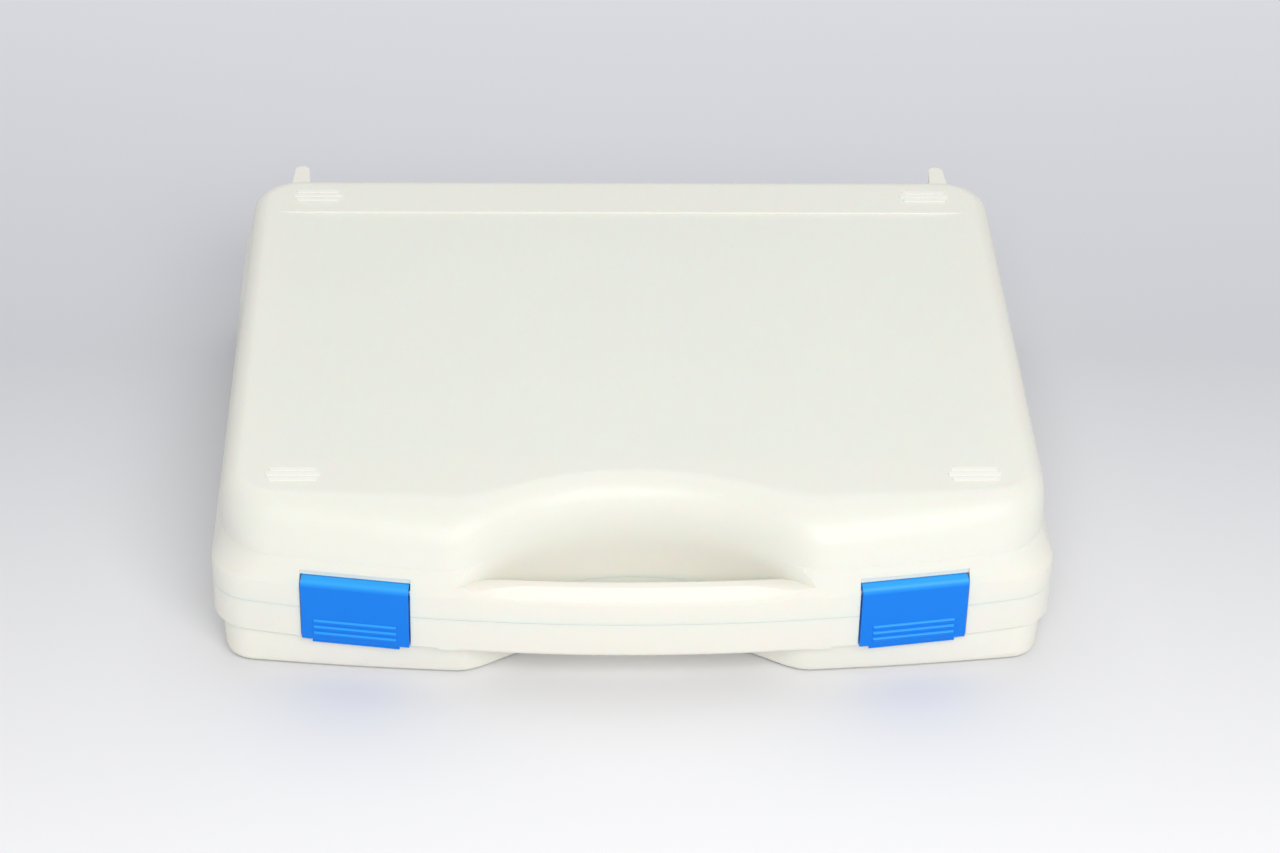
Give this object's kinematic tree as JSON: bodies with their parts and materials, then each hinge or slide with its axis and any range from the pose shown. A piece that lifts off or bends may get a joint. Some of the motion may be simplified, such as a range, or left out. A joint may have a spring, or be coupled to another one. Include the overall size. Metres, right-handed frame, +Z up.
{
  "type": "otoscope carry case",
  "caption": "Hinged moulded carry case for an otoscope, with a built-in handle bar, two blue swing latches and a foam lining.",
  "frame": {"origin": "bottom centre of the closed case's box", "axes": "+Z up, -Y towards the handle and latches, +Y towards the hinge, +X to the right"},
  "size_m": [0.293, 0.2499, 0.0656],
  "materials": {
    "shell": "satin",
    "latch": "satin",
    "pin": "satin",
    "foam": "matte"
  },
  "bodies": {
    "base": {"base_shell": "shell", "hinge_pin_left": "pin", "hinge_pin_right": "pin", "base_foam_pad": "foam", "base_foam_insert": "foam"},
    "lid": {"lid_shell": "shell", "latch_pin_left": "pin", "latch_pin_right": "pin", "lid_foam": "foam"},
    "latch_left": {"latch_left": "latch"},
    "latch_right": {"latch_right": "latch"}
  },
  "joints": [
    {"name": "lid_hinge", "type": "hinge", "parent": "base", "child": "lid", "pos_m": [0, 0.1182, 0.027], "axis": [-1, 0, 0], "range_deg": [0, 100]},
    {"name": "latch_left_hinge", "type": "hinge", "parent": "lid", "child": "latch_left", "pos_m": [-0.0959, -0.11491, 0.036], "axis": [-0.9879, 0.1553, 0], "range_deg": [0, 105]},
    {"name": "latch_right_hinge", "type": "hinge", "parent": "lid", "child": "latch_right", "pos_m": [0.0959, -0.11491, 0.036], "axis": [-0.9879, -0.1553, 0], "range_deg": [0, 105]}
  ]
}
